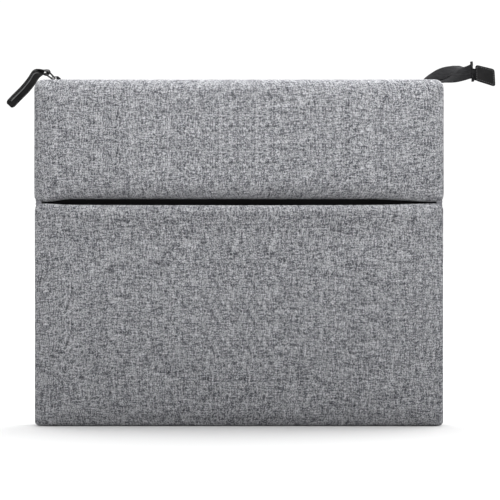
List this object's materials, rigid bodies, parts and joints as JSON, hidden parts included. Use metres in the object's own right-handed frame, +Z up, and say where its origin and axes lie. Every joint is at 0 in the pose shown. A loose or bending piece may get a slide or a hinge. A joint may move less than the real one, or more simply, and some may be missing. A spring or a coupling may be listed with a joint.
{
  "type": "laptop sleeve",
  "caption": "Padded fabric laptop sleeve with a top zip, a leather zip pull, a leather-tipped zip tail and a slit front pocket.",
  "frame": {"origin": "on the bottom face, below the middle of the case's width and of its thickness", "axes": "+X along the width towards the zip's tail, +Y from the front face to the back, +Z up"},
  "size_m": [0.4477, 0.0389, 0.3312],
  "materials": {
    "melange": "grey melange woven polyester",
    "foam": "soft foam padding",
    "lining": "black woven lining",
    "thread": "grey sewing thread",
    "zip_tape": "black woven zip tape",
    "coil_plastic": "black nylon coil",
    "black_metal": "black painted zinc",
    "leather": "black smooth leather"
  },
  "bodies": {
    "case": {"rear_cover": "melange", "rear_padding": "foam", "rear_lining": "lining", "upper_front_cover": "melange", "upper_front_padding": "foam", "lower_front_cover": "melange", "lower_front_padding": "foam", "pocket_front_lining": "lining", "left_slit_tack": "thread", "right_slit_tack": "thread", "pocket_back_lining": "lining", "divider_padding": "foam", "divider_lining": "lining", "front_mouth_facing": "melange", "left_gusset": "melange", "right_gusset": "melange", "left_pocket_gusset": "melange", "right_pocket_gusset": "melange", "bottom_gusset": "melange", "pocket_floor": "melange", "bottom_padding": "foam", "bottom_lining": "lining", "left_gusset_lining": "lining", "right_gusset_lining": "lining", "left_front_end_tape": "zip_tape", "left_front_end_coil": "coil_plastic", "left_rear_end_tape": "zip_tape", "left_rear_end_coil": "coil_plastic", "right_front_end_tape": "zip_tape", "right_front_end_coil": "coil_plastic", "right_rear_end_tape": "zip_tape", "right_rear_end_coil": "coil_plastic", "zip_end_stop": "black_metal", "tail_root_coil": "coil_plastic", "tail_root_rear_leaf": "zip_tape", "tail_root_front_leaf": "zip_tape"},
    "front_zip_side": {"front_zip_tape": "zip_tape", "front_zip_coil": "coil_plastic"},
    "rear_zip_side": {"rear_zip_tape": "zip_tape", "rear_zip_coil": "coil_plastic"},
    "slider": {"slider_body": "black_metal", "slider_crown": "black_metal"},
    "ring": {"pull_ring": "black_metal"},
    "pull": {"pull_strap": "leather"},
    "tail": {"tail_coil": "coil_plastic", "tail_rear_leaf": "zip_tape", "tail_front_leaf": "zip_tape", "tail_clamp": "black_metal"},
    "tab": {"tab_front_leather": "leather", "tab_back_leather": "leather", "tab_core": "zip_tape"}
  },
  "joints": [
    {"name": "slider_slide", "type": "slide", "parent": "case", "child": "slider", "axis": [1, 0, 0], "range_m": [0, 0.3247]},
    {"name": "ring_swing", "type": "hinge", "parent": "slider", "child": "ring", "pos_m": [-0.1688, 0.0035, 0.31525], "axis": [0, 1, 0], "range_deg": [0, 110]},
    {"name": "pull_swing", "type": "hinge", "parent": "ring", "child": "pull", "pos_m": [-0.17527, 0.0035, 0.32107], "axis": [0.2828, 0.9063, 0.3141], "range_deg": [-5, 60]},
    {"name": "front_zip_fold", "type": "hinge", "parent": "case", "child": "front_zip_side", "pos_m": [0, -0.003, 0.3093], "axis": [1, 0, 0], "range_deg": [0, 60]},
    {"name": "rear_zip_fold", "type": "hinge", "parent": "case", "child": "rear_zip_side", "pos_m": [0, 0.01, 0.3093], "axis": [-1, 0, 0], "range_deg": [0, 60]},
    {"name": "tail_droop", "type": "hinge", "parent": "case", "child": "tail", "pos_m": [0.1873, 0.0035, 0.3095], "axis": [0, 1, 0], "range_deg": [0, 50]},
    {"name": "tab_flex", "type": "hinge", "parent": "tail", "child": "tab", "pos_m": [0.2142, 0.0036, 0.3205], "axis": [0, 1, 0], "range_deg": [-12, 12]}
  ]
}
